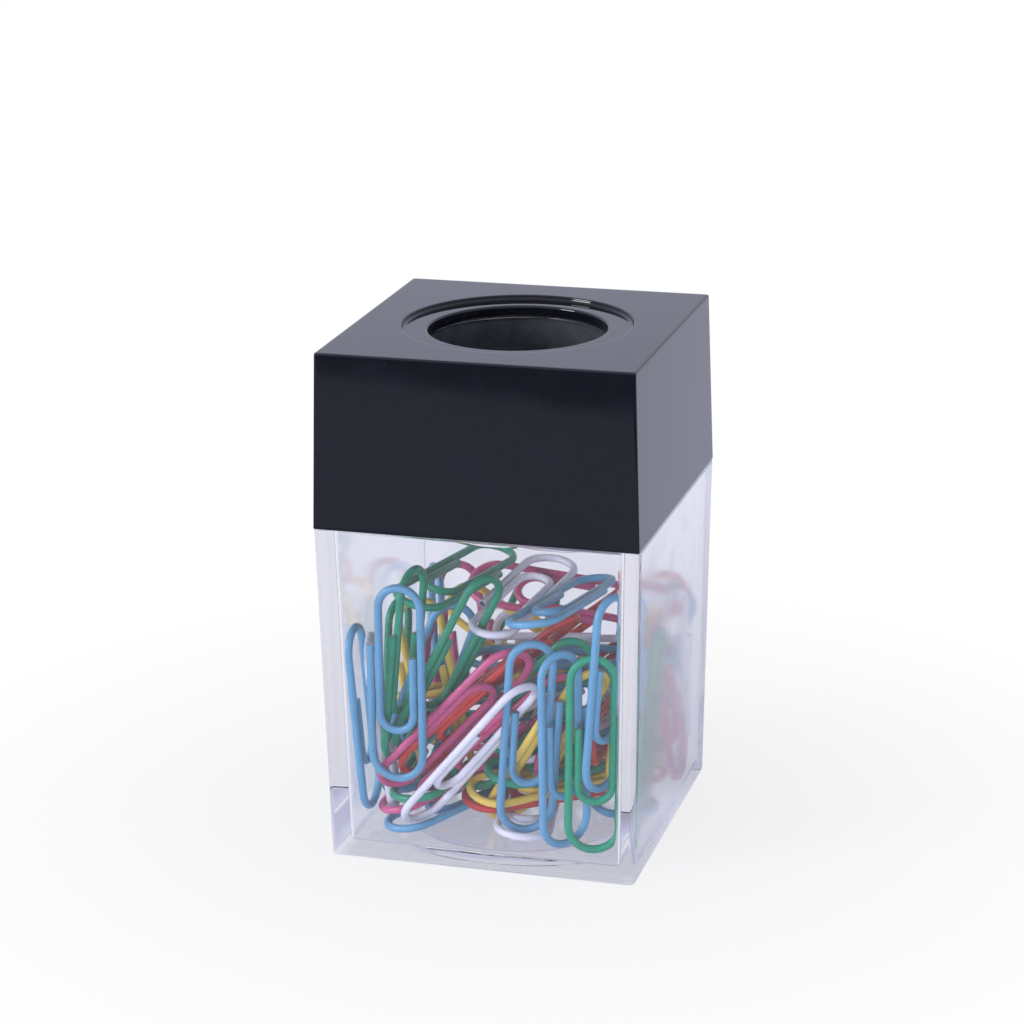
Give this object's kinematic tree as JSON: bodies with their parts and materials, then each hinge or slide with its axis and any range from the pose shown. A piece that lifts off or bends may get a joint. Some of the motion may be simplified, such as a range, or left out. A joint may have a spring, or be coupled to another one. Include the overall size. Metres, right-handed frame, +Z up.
{
  "type": "magnetic paper clip holder",
  "caption": "Square clear box of coloured vinyl-coated paper clips under a black slip-over cap, with a ring magnet round the cap's mouth that catches clips when the box is tipped.",
  "frame": {"origin": "middle of the foot, on the surface the holder stands on", "axes": "+Z up, the front face of the picture towards -Y, +X to its right"},
  "size_m": [0.044, 0.044, 0.0704],
  "materials": {
    "clear_plastic": "clear polished moulding",
    "black_plastic": "polished moulding",
    "ferrite": "sintered, ground, matt",
    "adhesive": "cured glue",
    "vinyl_blue": "smooth vinyl coating on steel wire",
    "vinyl_green": "smooth vinyl coating on steel wire",
    "vinyl_pink": "smooth vinyl coating on steel wire",
    "vinyl_white": "smooth vinyl coating on steel wire",
    "vinyl_yellow": "smooth vinyl coating on steel wire",
    "vinyl_red": "smooth vinyl coating on steel wire"
  },
  "bodies": {
    "box": {"clear_box": "clear_plastic", "clip_blue_1": "vinyl_blue", "clip_blue_10": "vinyl_blue", "clip_blue_11": "vinyl_blue", "clip_blue_12": "vinyl_blue", "clip_blue_13": "vinyl_blue", "clip_blue_14": "vinyl_blue", "clip_blue_2": "vinyl_blue", "clip_blue_3": "vinyl_blue", "clip_blue_4": "vinyl_blue", "clip_blue_5": "vinyl_blue", "clip_blue_6": "vinyl_blue", "clip_blue_7": "vinyl_blue", "clip_blue_8": "vinyl_blue", "clip_blue_9": "vinyl_blue", "clip_green_1": "vinyl_green", "clip_green_10": "vinyl_green", "clip_green_11": "vinyl_green", "clip_green_2": "vinyl_green", "clip_green_3": "vinyl_green", "clip_green_4": "vinyl_green", "clip_green_5": "vinyl_green", "clip_green_6": "vinyl_green", "clip_green_7": "vinyl_green", "clip_green_8": "vinyl_green", "clip_green_9": "vinyl_green", "clip_pink_1": "vinyl_pink", "clip_pink_2": "vinyl_pink", "clip_pink_3": "vinyl_pink", "clip_pink_4": "vinyl_pink", "clip_pink_5": "vinyl_pink", "clip_pink_6": "vinyl_pink", "clip_pink_7": "vinyl_pink", "clip_pink_8": "vinyl_pink", "clip_red_1": "vinyl_red", "clip_red_2": "vinyl_red", "clip_red_3": "vinyl_red", "clip_red_4": "vinyl_red", "clip_red_5": "vinyl_red", "clip_white_1": "vinyl_white", "clip_white_2": "vinyl_white", "clip_white_3": "vinyl_white", "clip_white_4": "vinyl_white", "clip_white_5": "vinyl_white", "clip_white_6": "vinyl_white", "clip_white_7": "vinyl_white", "clip_white_8": "vinyl_white", "clip_yellow_1": "vinyl_yellow", "clip_yellow_2": "vinyl_yellow", "clip_yellow_3": "vinyl_yellow", "clip_yellow_4": "vinyl_yellow", "clip_yellow_5": "vinyl_yellow", "clip_yellow_6": "vinyl_yellow"},
    "cap": {"cap": "black_plastic", "ring_magnet": "ferrite", "magnet_adhesive": "adhesive"}
  },
  "joints": [
    {"name": "cap_lift", "type": "slide", "parent": "box", "child": "cap", "axis": [0, 0, 1], "range_m": [0, 0.05]}
  ]
}
